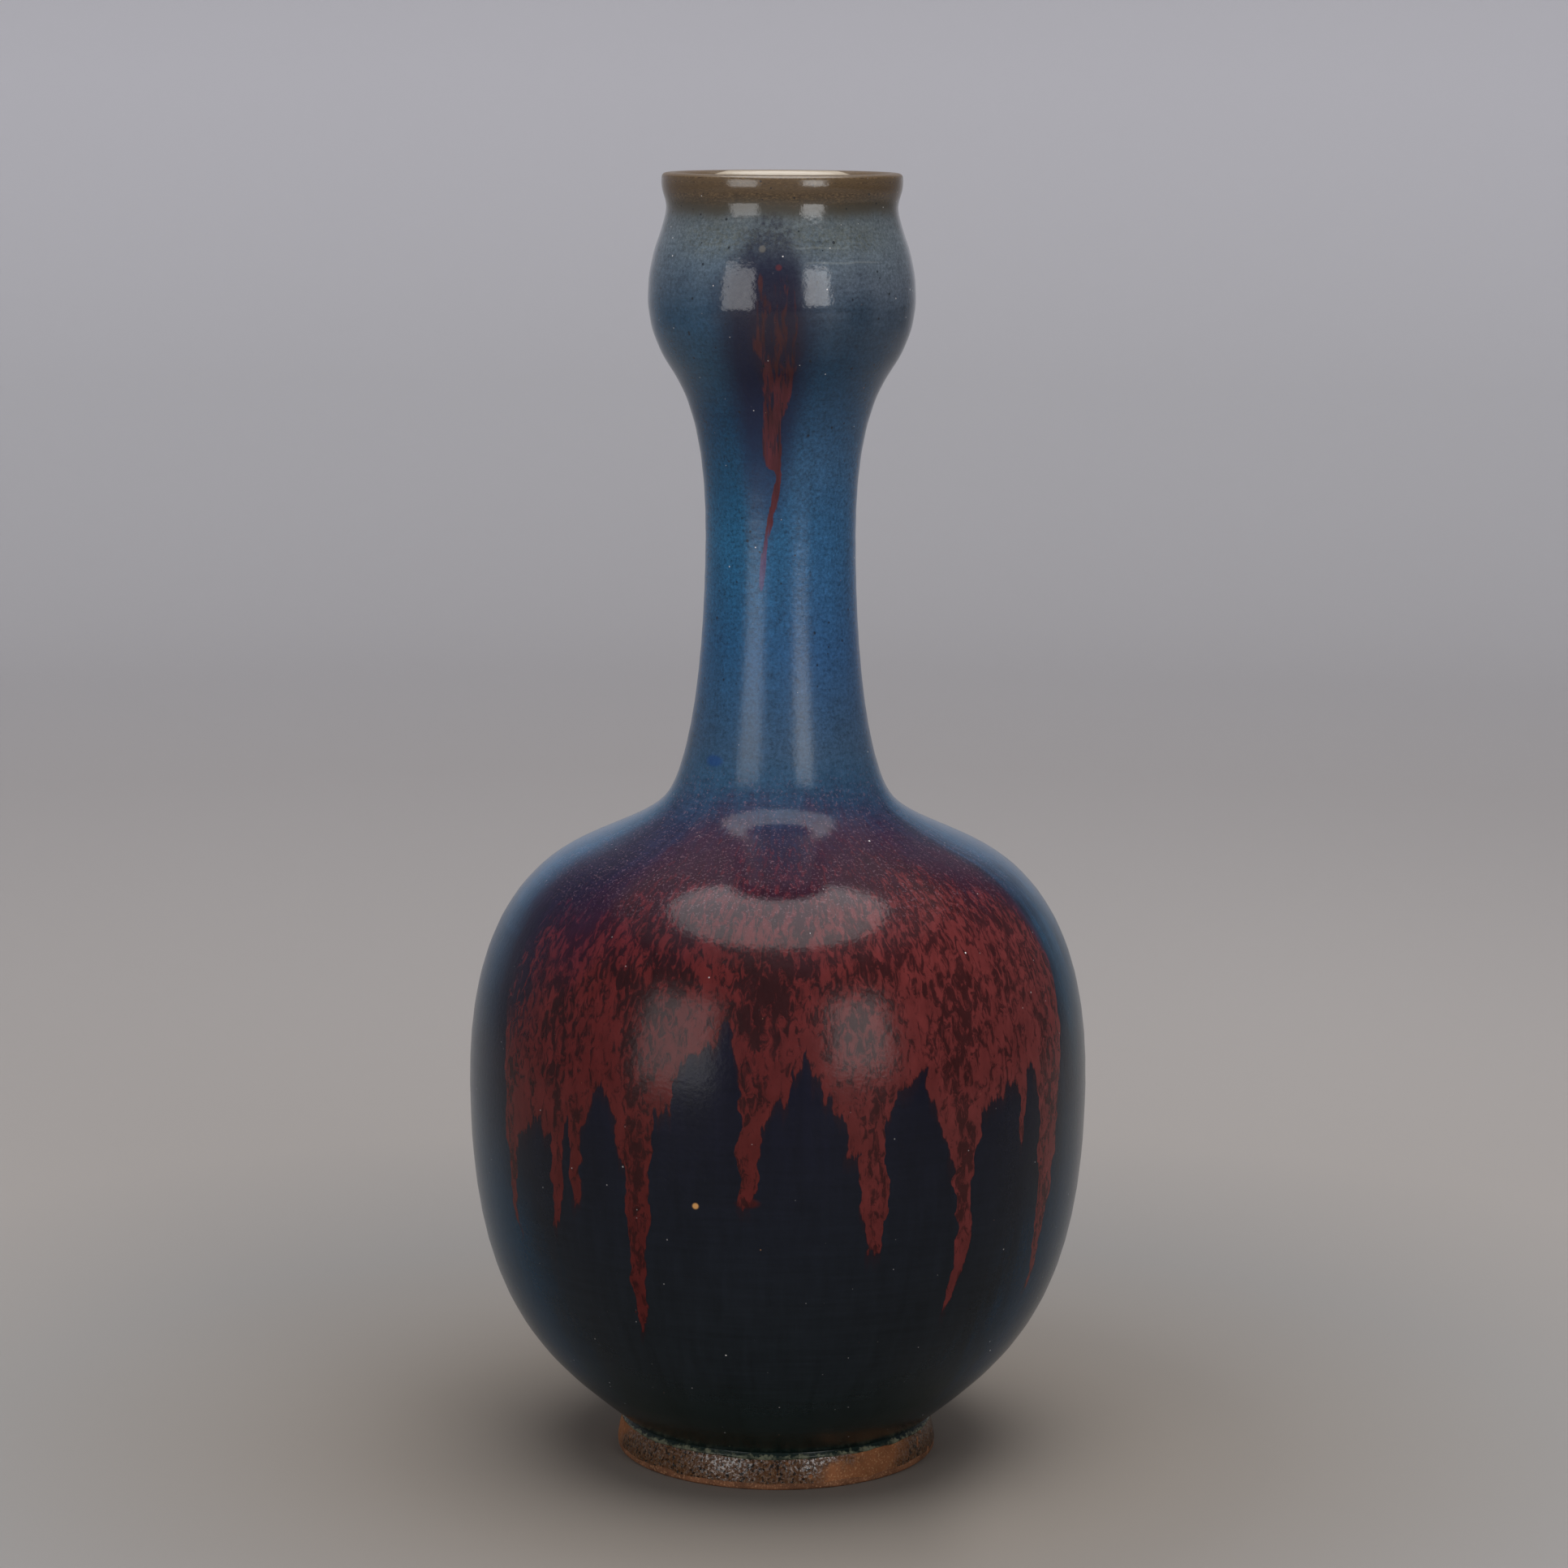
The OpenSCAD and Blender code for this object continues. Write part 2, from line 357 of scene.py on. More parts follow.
    def length(self, x: Wire, y: Wire) -> Wire:
        """Gives the length of a flat vector."""
        return self.math("SQRT", x * x + y * y)

    def shade(self, colour: Wire, factor: Number) -> Wire:
        """Makes a colour lighter or darker.

        Args:
            colour: the colour.
            factor: what it is multiplied by.

        Returns:
            The new colour.
        """
        made = self.node("VectorMath", operation="SCALE")
        self.feed(made.inputs[0], colour)
        self.feed(made.inputs["Scale"], factor)
        return Wire(self, made.outputs[0])

    def attribute(self, name: str) -> Wire:
        """Reads a number that the mesh keeps at its points."""
        made = self.node("Attribute", attribute_name=name)
        return Wire(self, made.outputs["Fac"])

    def bump(self, height: Wire, distance: float) -> None:
        """Roughens the surface.

        Args:
            height: height of the surface.
            distance: mm that a height of 1 stands for.
        """
        made = self.node("Bump")
        made.inputs["Strength"].default_value = 1
        made.inputs["Distance"].default_value = distance * MM
        self.feed(made.inputs["Height"], height)
        self.tree.links.new(made.outputs[0], self.shader.inputs["Normal"])

    def finish(self, colour: Wire, roughness: Number, gloss: Number = 0.5) -> bpy.types.Material:
        """Feeds the shader.

        Args:
            colour: base colour.
            roughness: roughness of the surface.
            gloss: strength of the reflection, where 0.5 is that of glass.

        Returns:
            The finished material.
        """
        self.feed(self.shader.inputs["Base Color"], colour)
        self.feed(self.shader.inputs["Roughness"], roughness)
        self.feed(self.shader.inputs["Specular IOR Level"], gloss)
        return self.material


@dataclass(frozen=True)
class Station:
    """A place that an outline passes through.

    The radius and height are in mm. The heading is the way the outline leaves, in degrees from level.
    before and after are the shares of the straight distance that the curve's handles take, and step is
    the distance in mm between rings after the station.
    """

    radius: float
    height: float
    heading: float
    before: float = 0.35
    after: float = 0.35
    step: float = 2.6

    def point(self) -> Vector:
        """Gives the place in metres."""
        return Vector((self.radius, 0, self.height)) * MM

    def travel(self) -> Vector:
        """Gives the way the outline leaves."""
        angle = math.radians(self.heading)
        return Vector((math.cos(angle), 0, math.sin(angle)))


def select_only(piece: bpy.types.Object) -> None:
    """Selects one object and makes it active.

    Args:
        piece: the object.
    """
    bpy.ops.object.select_all(action="DESELECT")
    piece.select_set(True)
    bpy.context.view_layer.objects.active = piece


def draw(name: str, stations: Sequence[Station]) -> bpy.types.Object:
    """Draws an outline as curves, one from each station to the next, and makes it a mesh of edges.

    Args:
        name: name of the object.
        stations: places of the outline. Two stations in one place make a corner.

    Returns:
        The outline, in the plane of X and Z.
    """
    bpy.ops.object.select_all(action="DESELECT")
    bpy.ops.curve.primitive_bezier_curve_add()
    outline = bpy.context.object
    outline.name = name
    outline.data.splines.clear()
    for first, last in zip(stations, stations[1:]):
        chord = (last.point() - first.point()).length
        if chord < MERGE:
            continue
        stretch = outline.data.splines.new("BEZIER")
        stretch.bezier_points.add(1)
        stretch.resolution_u = max(2, round(chord / (first.step * MM)))
        for knot, station in zip(stretch.bezier_points, (first, last)):
            knot.handle_left_type = knot.handle_right_type = "FREE"
            knot.co = station.point()
            knot.handle_left = knot.co - station.travel() * chord * station.before
            knot.handle_right = knot.co + station.travel() * chord * station.after
    bpy.ops.object.convert(target="MESH")
    return bpy.context.object


def turn(outline: bpy.types.Object, steps: int, facing: Facing) -> None:
    """Spins an outline round the vase's axis.

    Args:
        outline: mesh of edges in the plane of X and Z.
        steps: number of steps in the full turn.
        facing: side that shows.
    """
    select_only(outline)
    bpy.ops.object.mode_set(mode="EDIT")
    bpy.ops.mesh.select_all(action="SELECT")
    bpy.ops.mesh.remove_doubles(threshold=MERGE)
    bpy.ops.mesh.spin(steps=steps, angle=math.tau, center=(0, 0, 0), axis=(0, 0, 1))
    bpy.ops.mesh.select_all(action="SELECT")
    bpy.ops.mesh.remove_doubles(threshold=MERGE)
    bpy.ops.mesh.normals_make_consistent(inside=facing.value)
    bpy.ops.object.mode_set(mode="OBJECT")


def thicken(piece: bpy.types.Object, thickness: float) -> None:
    """Gives a surface a thickness behind the side that shows.

    Args:
        piece: the surface.
        thickness: its thickness in mm.
    """
    select_only(piece)
    bpy.ops.object.modifier_add(type="SOLIDIFY")
    solidify = piece.modifiers[-1]
    solidify.thickness = thickness * MM
    solidify.offset = -1
    bpy.ops.object.modifier_apply(modifier=solidify.name)


def smooth_shade(piece: bpy.types.Object, angle: float) -> None:
    """Shades a piece smooth, with edges sharper than an angle in degrees kept crisp."""
    select_only(piece)
    bpy.ops.object.shade_smooth_by_angle(angle=math.radians(angle))


def points_of(piece: bpy.types.Object) -> np.ndarray:
    """Reads the points of a mesh.

    Args:
        piece: object with the mesh.

    Returns:
        The points in mm, one row each.
    """
    mesh = piece.data
    rows = np.empty(len(mesh.vertices) * 3)
    mesh.vertices.foreach_get("co", rows)
    return rows.reshape(-1, 3) / MM


def put_points(piece: bpy.types.Object, rows: np.ndarray) -> None:
    """Puts the points of a mesh where rows in mm say."""
    piece.data.vertices.foreach_set("co", (rows * MM).ravel())
    piece.data.update()


def azimuth_of(rows: np.ndarray) -> np.ndarray:
    """Gives the azimuth of points in degrees from the front."""
    return np.degrees(np.arctan2(rows[:, 0], -rows[:, 1]))


def lumps(rows: np.ndarray, size: float) -> np.ndarray:
    """Gives smooth noise of about -1 to 1 at points in mm, with features of a size in mm."""
    return np.array([noise.noise(Vector(row) / size) for row in rows])


def rise(values: np.ndarray, low: float, high: float) -> np.ndarray:
    """Gives 0 at low and 1 at high with a straight line between. low may be the higher one."""
    return np.clip((values - low) / (high - low), 0, 1)


def hand_in(piece: bpy.types.Object, slot: Slot, *nodes: str) -> None:
    """Says which body carries a piece and which nodes it stands for.

    Args:
        piece: the piece.
        slot: the record's material slot. It is not used.
        nodes: CAD nodes that the piece stands for.
    """
    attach(piece, BODY)
    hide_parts(*nodes)
    log.info("%s stands for %s", piece.name, ", ".join(nodes))


class SkinPlace:
    """Where a point of the glaze lies, as wires of its paint."""

    def __init__(self, paint: Paint) -> None:
        """Reads the place.

        Args:
            paint: the material.
        """
        self.paint = paint
        self.place, self.x, self.y, self.z = paint.place()
        self.azimuth = paint.azimuth(self.x, self.y)
        self.radius = paint.length(self.x, self.y)
        self.along = paint.attribute(ALONG)
        self.cloud = paint.grain(self.flow(60, 2), 18, 3) - 0.5

    def flow(self, radius: float, stretch: float) -> Wire:
        """Gives a vector that follows the skin.

        Args:
            radius: radius in mm of the part of the vase that it is true to scale on.
            stretch: how many times longer a feature is down the skin than across it.

        Returns:
            The vector in mm.
        """
        scale = radius / self.radius
        return self.paint.vector(self.x * scale, self.y * scale, self.along / stretch)

    def band(self, low: float, high: float, fade: float) -> Wire:
        """Gives 1 between two heights and 0 outside, with a fade in mm at both."""
        rising = self.paint.smooth(self.z, low - fade, low + fade)
        return rising * self.paint.smooth(self.z, high + fade, high - fade)

    def spot(self, azimuth: float, height: float, wide: float, tall: float) -> Wire:
        """Gives a soft spot.

        Args:
            azimuth: azimuth of the middle in degrees.
            height: height of the middle in mm.
            wide: half width in degrees.
            tall: half height in mm.

        Returns:
            1 in the middle and 0 outside.
        """
        across = (self.azimuth - azimuth) / wide
        up = (self.z - height) / tall
        return self.paint.smooth(self.paint.length(across, up) + self.cloud, 1.1, 0.5)

    def mark(self, left: float, right: float, height: float) -> Wire:
        """Gives a thin level line.

        Args:
            left: azimuth of the left end in degrees.
            right: azimuth of the right end in degrees.
            height: height in mm.

        Returns:
            1 on the line and 0 elsewhere.
        """
        smooth = self.paint.smooth
        reach = smooth(self.azimuth, left, left + 6) * smooth(self.azimuth, right, right - 8)
        return smooth(abs(self.z - height + self.cloud), 0.35, 0.1) * reach


@dataclass(frozen=True)
class BlueGround:
    """The blue glaze before the splashes, with colours by height in mm.

    left and right are at the sides, and front is where the belly's glaze has run dark.
    """

    left: Stops = (
        (0, (20, 25, 20)), (14, (15, 29, 30)), (30, (4, 44, 66)), (70, (4, 44, 66)),
        (105, (8, 42, 62)), (130, (20, 56, 82)), (150, (31, 76, 108)), (166, (38, 72, 98)),
        (176, (44, 70, 95)), (200, (32, 76, 112)), (226, (30, 83, 117)), (243, (20, 66, 96)),
        (255, (8, 53, 82)), (268, (28, 63, 86)), (277, (36, 68, 92)), (286, (62, 79, 95)),
        (297, (84, 96, 105)), (303, (78, 85, 88)),
    )
    right: Stops = (
        (0, (20, 25, 20)), (14, (15, 29, 30)), (30, (4, 42, 64)), (70, (6, 38, 58)),
        (105, (14, 44, 58)), (130, (24, 58, 80)), (150, (31, 74, 104)), (166, (42, 72, 98)),
        (176, (51, 74, 98)), (200, (42, 77, 114)), (226, (42, 84, 120)), (243, (46, 82, 114)),
        (255, (34, 68, 97)), (268, (22, 53, 77)), (277, (39, 58, 76)), (286, (74, 84, 96)),
        (297, (87, 97, 104)), (303, (79, 86, 89)),
    )
    front: Stops = (
        (0, (22, 32, 27)), (16, (21, 34, 32)), (35, (24, 31, 36)), (55, (23, 28, 34)),
        (95, (15, 17, 29)), (120, (14, 13, 28)), (140, (18, 14, 34)), (152, (26, 22, 46)),
        (158, (32, 36, 60)), (164, (40, 58, 82)), (174, (46, 72, 96)),
    )
    olive: Tint = (78, 82, 78)
    lip: Tint = (77, 61, 42)
    lip_light: Tint = (117, 95, 66)
    lip_dark: Tint = (38, 29, 21)
    lip_pit: Tint = (36, 30, 24)
    collar: Tint = (66, 62, 53)
    cream: Tint = (150, 138, 121)

    def colour(self, at: SkinPlace) -> Wire:
        """Colours the ground.

        Args:
            at: place on the skin.

        Returns:
            The colour.
        """
        paint = at.paint
        lower = paint.smooth(at.z, 180, 145)
        streak = (paint.grain(at.flow(40, 10), 1.6, 3, 0.6) - 0.5) * (lower * 0.85 + 0.15)
        ring = paint.grain(at.flow(26, 0.16), 7, 3, 0.6) - 0.5
        side = abs(at.azimuth + at.cloud * 22 + streak * 14)
        height = at.z + at.cloud * 9 + streak * 7 + ring * 4
        turned = paint.smooth(at.x / at.radius + at.cloud, -0.7, 0.7)
        plain = paint.mix(turned, paint.ramp(height, self.left), paint.ramp(height, self.right))
        flank = side + paint.smooth(at.z, 105, 40) * 22
        dark = paint.smooth(flank, 82, 60) * paint.smooth(height, 174, 164)
        colour = paint.mix(dark, plain, paint.ramp(height, self.front))
        mottle = paint.smooth(paint.grain(at.flow(30, 0.7), 1, 3, 0.7), 0.40, 0.62)
        upper = at.band(294, 301, 3) * paint.smooth(side, 66, 36)
        colour = paint.mix(upper * (mottle * 0.6 + 0.2), colour, self.olive)
        fine = (paint.grain(at.place, 0.75, 3, 0.75) - 0.5) * paint.smooth(at.z, 140, 180)
        fine = fine * (at.band(205, 258, 12) * 0.6 + 1.9)
        tone = fine + streak * 0.8 + ring * 0.6 + at.cloud * 0.5 + 1
        return paint.shade(colour, tone)

    def rim(self, at: SkinPlace, colour: Wire) -> Wire:
        """Lays the brown lip over the ground and the cream inside it, which is highest at the back.

        Args:
            at: place on the skin.
            colour: the colour so far.

        Returns:
            The colour with the lip.
        """
        paint = at.paint
        height = at.z + at.cloud * 3
        grit = paint.grain(at.flow(HEAD, 0.6), 0.8, 3, 0.75)
        brown = paint.mix(paint.smooth(grit, 0.48, 0.64) * 0.7, self.lip, self.lip_light)
        brown = paint.mix(paint.smooth(grit, 0.46, 0.34) * 0.7, brown, self.lip_dark)
        brown = paint.mix(paint.dots(at.place, 2.3, 0.42, 0.35) * 0.7, brown, self.lip_pit)
        colour = paint.mix(paint.smooth(height, 301, 304.6), colour, self.collar)
        colour = paint.mix(paint.smooth(height, 304, 308), colour, brown)
        climb = paint.smooth(abs(at.azimuth) + at.cloud * 10, 136, 150) * 1.4 + 24.3
        inside = paint.smooth(at.radius - climb, 0.15, -0.15) * paint.smooth(at.z, 300, 302)
        return paint.mix(inside, colour, self.cream)


@dataclass(frozen=True)
class BellySplash:
    """The copper-red sheet on the belly and its nine runs.

    Each group of runs is its lower edge from left to right, as azimuths in degrees and heights in mm
    of the edge's corners, and beyond them the edge lies above the whole belly. start is the upper edge
    in the same way. dark and light are the colours of the sheet and of its flecks by the distance in
    mm below start.
    """

    outer_left: Points = (
        (-65, 146), (-63, 130), (-61, 116), (-59.6, 106), (-58.6, 96), (-58, 84), (-57.1, 70),
        (-56.5, 64), (-55.6, 73), (-55, 84), (-53.4, 90), (-50, 92), (-48.5, 95), (-47.4, 92),
        (-45.4, 91), (-44.9, 80), (-44.7, 70), (-44, 68), (-43.1, 71), (-42.4, 78), (-41.8, 89),
        (-41.2, 94), (-40.4, 97), (-39.9, 94), (-39.7, 78), (-39, 75), (-38, 77), (-37.2, 82),
        (-36.4, 94), (-35, 99), (-34, 104), (-33, 106),
    )
    inner_left: Points = (
        (-33, 106), (-31.8, 103), (-30, 96), (-29.3, 89), (-28.3, 88), (-27.9, 60), (-27.5, 46),
        (-26.7, 46), (-25.6, 53), (-24.5, 63), (-23.4, 75), (-22.6, 90), (-22.3, 100), (-19, 101),
        (-18.3, 109), (-16.4, 112), (-14.4, 115), (-11, 117), (-10, 121), (-8.7, 122),
    )
    inner_right: Points = (
        (-8.7, 122), (-8, 115), (-7.1, 109), (-6.8, 100), (-6.6, 86), (-6.4, 80), (-4.8, 79), (-3.9, 80),
        (-3.6, 89), (-3.1, 98), (-1.8, 102), (-1, 105), (-0.2, 104), (0.7, 102), (1.6, 103), (2, 110),
        (4, 112), (4.6, 117), (5.4, 113), (6.8, 109), (8, 109), (8.4, 105), (9.4, 104), (10, 101),
        (11.4, 101), (11.8, 96), (12.2, 92), (14.6, 91), (15, 78), (16.1, 76), (16.5, 69), (17.4, 67),
        (18.7, 67), (19.3, 70), (19.5, 98), (20.4, 100), (20.7, 105), (24, 106), (25.6, 108),
        (27.6, 111),
    )
    outer_right: Points = (
        (27.6, 111), (28.2, 104), (29.2, 101), (30.5, 94), (31.4, 89), (33, 85), (33.4, 60), (33.7, 51),
        (34.6, 50), (35.2, 55), (36, 63), (37, 72), (37.5, 82), (38, 92), (38.4, 98), (41.2, 100),
        (44.3, 101), (45.4, 103), (47.9, 103), (48.4, 99), (48.6, 90), (49.2, 88), (49.9, 90),
        (50.3, 100), (51.6, 106), (52.9, 107), (53.8, 103), (55.6, 98), (56.3, 60), (56.9, 49),
        (57.7, 50), (58.6, 57), (59.2, 68), (60, 80), (60.9, 86), (61.5, 93), (64.2, 106),
        (66.2, 120), (67.8, 134), (69.4, 148),
    )
    start: Points = (
        (-66, 100), (-62, 124), (-60, 134), (-53, 140), (-44, 143), (-41, 148), (-37, 152), (-23, 155),
        (0, 154), (23, 155), (44, 152), (57, 149), (62, 145), (65, 137), (67, 127), (72, 100),
    )
    dark: Stops = (
        (-8, (30, 24, 48)), (5, (40, 17, 30)), (22, (36, 15, 17)), (60, (43, 15, 15)),
        (90, (46, 15, 15)),
    )
    light: Stops = (
        (-8, (58, 28, 50)), (5, (76, 28, 38)), (22, (77, 27, 27)), (60, (77, 26, 24)),
        (90, (78, 26, 24)),
    )
    beyond: float = 200
    haze: Tint = (66, 25, 42)
    painted_glint_specks: Tint = (140, 108, 120)
    hem: Tint = (40, 14, 16)
    shadow: Tint = (34, 17, 22)
    dark_right: Tint = (58, 24, 24)
    light_right: Tint = (104, 45, 44)

    def edge(self, at: SkinPlace) -> Wire:
        """Finds how far down the splash has run at each azimuth.

        Args:
            at: place on the skin.

        Returns:
            Height of the splash's lower edge in mm.
        """
        paint = at.paint
        ragged = paint.grain(at.flow(BELLY, 3), 1.5, 3, 0.6) - 0.5
        wave = paint.grain(at.flow(BELLY, 1.3), 7, 2) - 0.5
        azimuth = at.azimuth + ragged * 1.2 + wave * 5
        edge: Number = 0
        inside: Number = 0
        for corners in (self.outer_left, self.inner_left, self.inner_right, self.outer_right):
            after = paint.math("GREATER_THAN", azimuth, corners[0][0])
            held = after * paint.math("LESS_THAN", azimuth, corners[-1][0])
            edge = paint.curve(azimuth, corners, "VECTOR") * held + edge
            inside = held + inside
        column = paint.grain(at.flow(BELLY, 90), 1, 2, 0.6) - 0.5
        return edge + (1 - inside) * self.beyond + column * 8 + ragged * 2

    def over(self, at: SkinPlace, colour: Wire) -> Wire:
        """Lays the splash over a colour.

        Args:
            at: place on the skin.
            colour: the colour so far.

        Returns:
            The colour with the splash.
        """
        paint = at.paint
        fine = paint.grain(at.flow(BELLY, 1.5), 0.6, 2) - 0.5
        below = paint.curve(at.azimuth, self.start) + at.cloud * 12 - at.z
        above = at.z - self.edge(at) + fine * 2
        patch = paint.grain(at.flow(BELLY, 1.6), 7, 2) - 0.5
        fleck = paint.grain(at.flow(BELLY, 2.4), 1.55, 4, 0.66, 0.8)
        gaps = at.spot(-4, 126, 14, 12) + at.spot(-24, 129, 9, 7)
        density = paint.smooth(below, -10, 20) * 0.55 + paint.smooth(above, 26, 2) * 0.4 + patch * 1.2
        middle = 0.62 - (density - gaps * 0.28) * 0.22
        bright = paint.smooth(fleck, middle - 0.08, middle + 0.08)
        lift = paint.smooth(at.azimuth, -15, 45) * paint.smooth(below, -4, 12) * 0.65
        dark = paint.mix(lift, paint.ramp(below, self.dark), self.dark_right)
        light = paint.mix(lift, paint.ramp(below, self.light), self.light_right)
        splash = paint.mix(bright, dark, light)
        splash = paint.shade(splash, (paint.grain(at.flow(BELLY, 2), 3, 3) - 0.5) * 0.9 + 1)
        splash = paint.mix(paint.smooth(above, 1, 0) * 0.6, splash, self.hem)
        sparse = paint.smooth(at.azimuth, -48, -58) * at.band(112, 136, 8)
        sparse = sparse * paint.smooth(fleck, 0.64, 0.5) * 0.85
        veil = paint.smooth(below + (fleck - 0.5) * 30, -9, 9) * (1 - sparse)
        mist = paint.grain(at.flow(BELLY, 1.4), 4, 4, 0.6) - 0.5
        haze = paint.smooth(below + mist * 24, -15, 4)
        haze = haze * paint.smooth(at.azimuth, -60, -28) * (1 - at.spot(0, 158, 15, 10) * 0.8)
        colour = paint.mix(haze * paint.smooth(above, 0, 4) * 0.6, colour, self.haze)
        # Painted glints: pale specks over the shoulder band.
        painted_glint_specks = paint.smooth(paint.grain(at.place, 0.7, 2, 0.8), 0.57, 0.67) * at.band(143, 170, 6)
        colour = paint.mix(paint.smooth(above, -5, 0) * veil * 0.5, colour, self.shadow)
        toe = at.spot(-5, 80.2, 2.6, 1.5)
        covered = paint.math("MAXIMUM", paint.smooth(above, -0.3, 0.3) * veil, toe)
        colour = paint.mix(covered, colour, splash)
        return paint.mix(painted_glint_specks * 0.3, colour, self.painted_glint_specks)


@dataclass(frozen=True)
class HeadSplash:
    """The splash on the bulb with its thin run down the neck.

    Each pair of curves gives the middle and the half width in degrees at a height in mm, first of the
    dark stain and then of the red in it. density is the share of red, and stain has the stain's colour
    by height.
    """

    stain_middle: Points = (
        (212, -17), (223, -16), (239, -11.6), (254, -9.8), (268, -7.6), (278, -7.2), (289, -6.6),
        (304, -5.2),
    )
    stain_half: Points = (
        (212, 1), (223, 7.5), (239, 15), (254, 19), (268, 21), (278, 20.5), (284, 20.5), (290, 17),
        (296, 13), (300, 10), (304, 3),
    )
    red_middle: Points = (
        (212, -16.5), (214, -15.6), (222, -12.7), (229, -8.5), (234, -5.6), (239, -3), (242, -1.6),
        (243.6, -5), (247, -6.2), (252, -6), (257, -3.8), (262, -2.2), (268, -2), (278, -2.7),
        (292, -3),
    )
    red_half: Points = (
        (212, 0.8), (214, 2.2), (229, 2.3), (239, 2.2), (242.4, 2.4), (243.8, 5), (247, 6.2),
        (252, 5.4), (257, 6), (262, 7.4), (266, 9.2), (270, 11.2), (278, 10.8), (292, 8),
    )
    density: Points = (
        (210, 0.2), (214, 0.7), (230, 0.9), (236, 1), (256, 1), (262, 0.84), (267, 0.6), (272, 0.46),
        (280, 0.34), (287, 0.16), (296, 0),
    )
    stain: Stops = ((230, (42, 49, 80)), (246, (20, 36, 66)), (262, (18, 20, 46)), (280, (13, 12, 36)))
    soot: Tint = (33, 22, 36)
    red: Tint = (75, 32, 38)
    dim: Tint = (58, 27, 30)
    slit: Tint = (38, 22, 34)
    pink: Tint = (92, 62, 98)
    red_mark: Tint = (92, 38, 40)
    pale_mark: Tint = (108, 104, 96)

    def over(self, at: SkinPlace, colour: Wire) -> Wire:
        """Lays the splash over a colour.

        Args:
            at: place on the skin.
            colour: the colour so far.

        Returns:
            The colour with the splash.
        """
        paint = at.paint
        drift = paint.grain(at.flow(HEAD, 4), 2.2, 3, 0.6) - 0.5
        azimuth = at.azimuth + drift * 5 + at.cloud * 4

        def inside(middle: Points, half: Points, fade: float) -> Wire:
            """Gives 1 inside a strip and 0 outside, with a fade in shares of the half width."""
            away = abs(azimuth - paint.curve(at.z, middle)) / paint.curve(at.z, half)
            return paint.smooth(away, 1 + fade, 1 - fade)

        stain = inside(self.stain_middle, self.stain_half, 0.5) * paint.smooth(at.z, 212, 256)
        speck = paint.smooth(paint.grain(at.place, 1.2, 4, 0.75), 0.32, 0.64)
        stain = stain * (1 - paint.smooth(at.z, 288, 304) * (speck * 0.6 + 0.4))
        colour = paint.mix(stain * 0.93, colour, paint.ramp(at.z, self.stain))
        strip = inside(self.red_middle, self.red_half, 0.35) * at.band(214, 291, 3)
        colour = paint.mix(strip * at.band(248, 284, 8) * 0.6, colour, self.soot)
        fleck = paint.grain(at.flow(HEAD, 6), 1.4, 3, 0.6, 0.5)
        middle = 0.63 - paint.curve(at.z, self.density) * 0.27 + (1 - strip) * 0.3
        bright = paint.smooth(fleck, middle - 0.06, middle + 0.06) * paint.smooth(strip, 0, 0.2)
        red = paint.mix(paint.smooth(at.z, 260, 270), self.red, self.dim)
        red = paint.mix(paint.smooth(at.z, 231, 219), red, self.pink)
        slit = paint.smooth(paint.grain(at.flow(HEAD, 9), 0.9, 2, 0.6), 0.47, 0.38)
        red = paint.mix(slit * at.band(246, 290, 3) * 0.8, red, self.slit)
        red = paint.shade(red, drift * 1.6 + 1)
        colour = paint.mix(bright * (paint.smooth(at.z, 212, 232) * 0.4 + 0.6), colour, red)
        colour = paint.mix(at.spot(-1.4, 291, 1.8, 0.9) * 0.6, colour, self.red_mark)
        return paint.mix(at.spot(-8.7, 295.2, 1.7, 0.9) * 0.5, colour, self.pale_mark)


